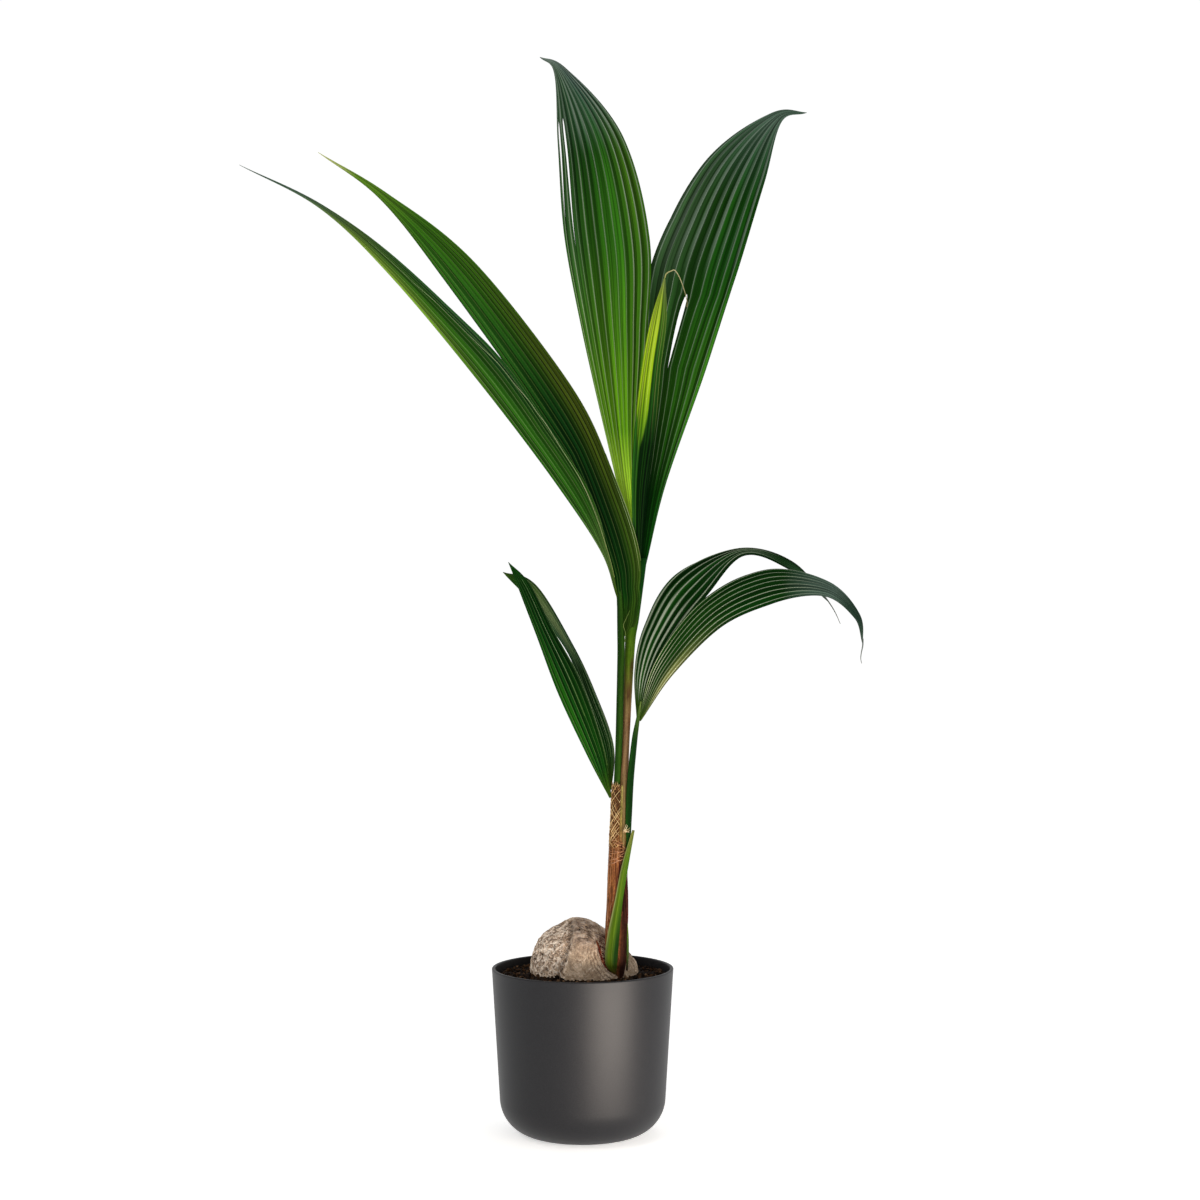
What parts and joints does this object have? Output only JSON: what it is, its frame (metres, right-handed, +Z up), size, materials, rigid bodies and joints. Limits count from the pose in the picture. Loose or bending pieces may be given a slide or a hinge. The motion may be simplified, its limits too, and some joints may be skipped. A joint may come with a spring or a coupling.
{
  "type": "potted coconut palm",
  "caption": "Young coconut palm in a round tapered planter: a sprouted nut half sunk in soil, a fibrous stem, pleated two-lobed fronds and a rolled spear leaf.",
  "frame": {"origin": "middle of the pot's flat underside, at the surface it stands on", "axes": "+Z up along the plant, -Y towards the front view with the upright frond behind the stem, +X to the right in that view"},
  "size_m": [0.7146, 0.3402, 1.3358],
  "materials": {
    "pot": "satin anthracite",
    "soil": "crumbly dark potting soil",
    "husk": "weathered grey-beige coconut husk",
    "stem_fibre": "brown fibrous leaf sheath",
    "petiole": "smooth green leaf stalk",
    "leaf": "satin pleated green leaf",
    "young_leaf": "satin yellow-green young leaf"
  },
  "bodies": {
    "root": {"pot": "pot", "soil": "soil", "coconut": "husk", "stem": "stem_fibre", "upper_left_frond_petiole": "petiole", "upright_frond_petiole": "petiole", "lower_right_frond_petiole": "petiole", "upright_frond_left_half_inner": "leaf", "upright_frond_left_half_outer": "leaf", "upright_frond_right_half_inner": "leaf", "upright_frond_right_half_outer": "leaf", "upper_left_frond_front_half": "leaf", "upper_left_frond_back_half": "leaf", "lower_right_frond_back_half_inner": "leaf", "lower_right_frond_back_half_outer": "leaf", "lower_right_frond_front_half_inner": "leaf", "lower_right_frond_front_half_outer": "leaf", "lower_left_frond_front_half": "leaf", "lower_left_frond_back_half": "leaf", "spear_leaf": "young_leaf", "scale_leaf": "young_leaf"}
  },
  "joints": []
}
